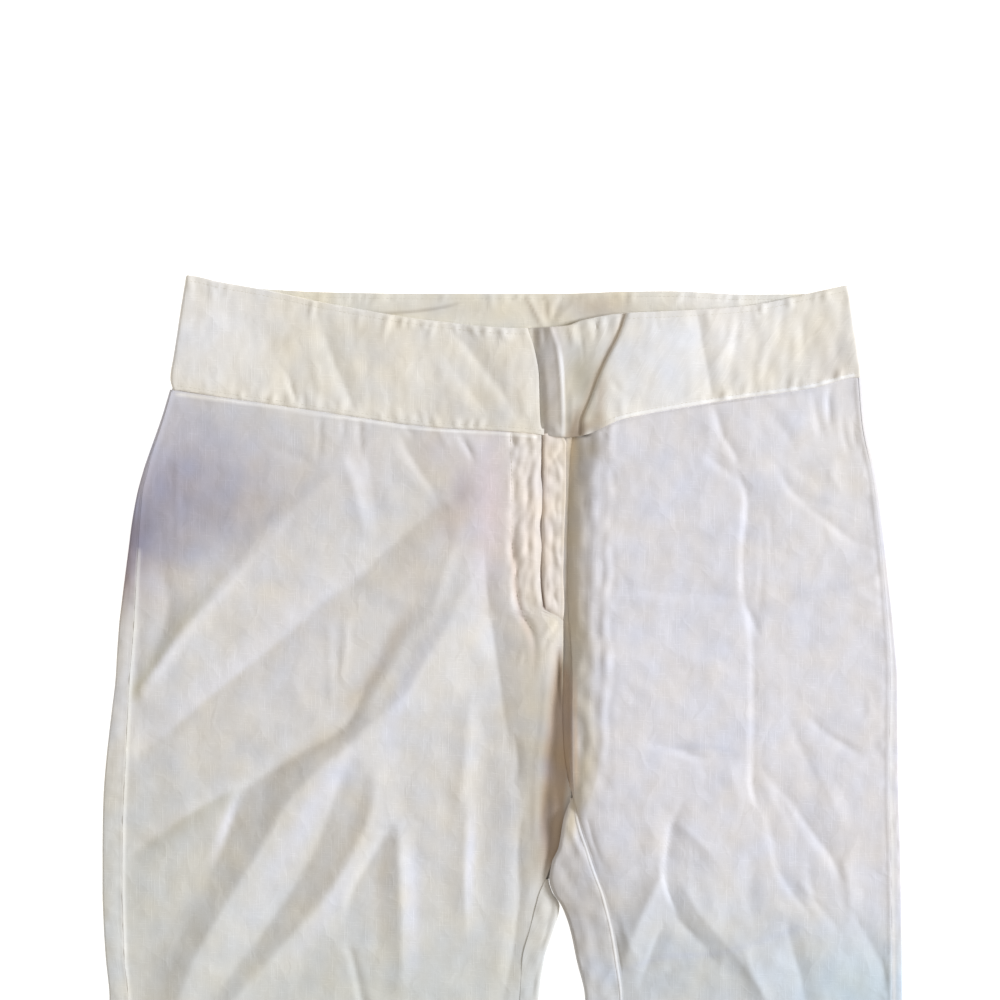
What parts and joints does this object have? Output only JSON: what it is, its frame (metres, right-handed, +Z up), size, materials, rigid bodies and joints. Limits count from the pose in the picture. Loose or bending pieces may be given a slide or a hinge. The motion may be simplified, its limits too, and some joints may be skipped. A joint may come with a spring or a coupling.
{
  "type": "wide-leg trousers",
  "caption": "Wide-leg linen trousers laid flat with the front up: deep waistband dipping at the centre, lapped fly with a slit, a big soft fold down the centre front, plain straight legs.",
  "frame": {"origin": "under the middle of the bounding box, on the surface that the trousers lie on", "axes": "+Y from the hems to the waist, +X to the wearer's left, +Z up out of the surface"},
  "size_m": [0.524, 1.1001, 0.01],
  "materials": {
    "linen": "matte plain-woven linen",
    "waistband": "matte plain-woven linen, creamier",
    "zip": "woven zip tape"
  },
  "bodies": {
    "root": {"front_right": "linen", "front_left": "linen", "back_right": "linen", "back_left": "linen", "waistband_front_right": "waistband", "waistband_front_left": "waistband", "waistband_back": "waistband", "waistband_back_facing": "waistband", "fly_shield": "waistband", "fly_zip": "zip"}
  },
  "joints": []
}
